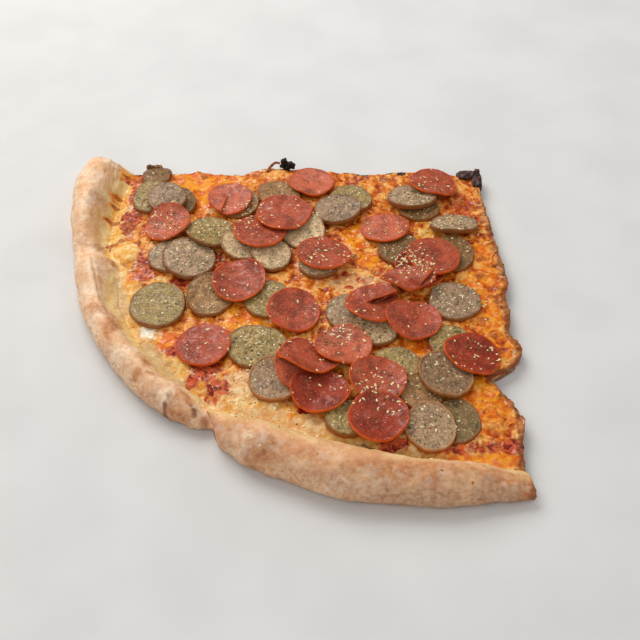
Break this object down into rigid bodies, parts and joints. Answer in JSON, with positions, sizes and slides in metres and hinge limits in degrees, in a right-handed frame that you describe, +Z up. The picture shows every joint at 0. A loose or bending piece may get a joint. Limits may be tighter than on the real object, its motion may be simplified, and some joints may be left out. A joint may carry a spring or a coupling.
{
  "type": "meat lovers pizza slice",
  "caption": "Wide wedge of meat pizza: thin baked dough with a puffed, torn crust rim, sauce, melted cheese and overlapping slices of pepperoni and sausage.",
  "frame": {"origin": "middle of the footprint, on the surface the pizza lies on", "axes": "+Z up; one straight cut runs towards -X from the wedge's point and the other towards -Y, so the point is in the +X +Y corner and the crust rim curves from -X to -Y"},
  "size_m": [0.2837, 0.2728, 0.024],
  "materials": {
    "baked_dough": "matte",
    "tomato_sauce": "satin",
    "melted_cheese": "satin",
    "sausage_meat": "satin",
    "pepperoni_meat": "satin",
    "dried_herbs": "matte",
    "grated_hard_cheese": "matte",
    "charred_crumb": "matte"
  },
  "bodies": {
    "root": {"dough": "baked_dough", "sauce": "tomato_sauce", "cheese": "melted_cheese", "pepperoni_01": "pepperoni_meat", "pepperoni_02": "pepperoni_meat", "pepperoni_03": "pepperoni_meat", "pepperoni_04": "pepperoni_meat", "pepperoni_05": "pepperoni_meat", "pepperoni_06": "pepperoni_meat", "pepperoni_07": "pepperoni_meat", "pepperoni_08": "pepperoni_meat", "pepperoni_09": "pepperoni_meat", "pepperoni_10": "pepperoni_meat", "pepperoni_11": "pepperoni_meat", "pepperoni_12": "pepperoni_meat", "pepperoni_13": "pepperoni_meat", "pepperoni_14": "pepperoni_meat", "pepperoni_15": "pepperoni_meat", "pepperoni_16": "pepperoni_meat", "pepperoni_17": "pepperoni_meat", "pepperoni_18": "pepperoni_meat", "pepperoni_19": "pepperoni_meat", "pepperoni_20": "pepperoni_meat", "pepperoni_21": "pepperoni_meat", "pepperoni_22": "pepperoni_meat", "pepperoni_23": "pepperoni_meat", "sausage_01": "sausage_meat", "sausage_02": "sausage_meat", "sausage_03": "sausage_meat", "sausage_04": "sausage_meat", "sausage_05": "sausage_meat", "sausage_06": "sausage_meat", "sausage_07": "sausage_meat", "sausage_08": "sausage_meat", "sausage_09": "sausage_meat", "sausage_10": "sausage_meat", "sausage_11": "sausage_meat", "sausage_12": "sausage_meat", "sausage_13": "sausage_meat", "sausage_14": "sausage_meat", "sausage_15": "sausage_meat", "sausage_16": "sausage_meat", "sausage_17": "sausage_meat", "sausage_18": "sausage_meat", "sausage_19": "sausage_meat", "sausage_20": "sausage_meat", "sausage_21": "sausage_meat", "sausage_22": "sausage_meat", "sausage_23": "sausage_meat", "sausage_24": "sausage_meat", "sausage_25": "sausage_meat", "sausage_26": "sausage_meat", "sausage_27": "sausage_meat", "sausage_28": "sausage_meat", "sausage_29": "sausage_meat", "sausage_30": "sausage_meat", "sausage_31": "sausage_meat", "sausage_32": "sausage_meat", "sausage_33": "sausage_meat", "sausage_34": "sausage_meat"}
  },
  "joints": []
}
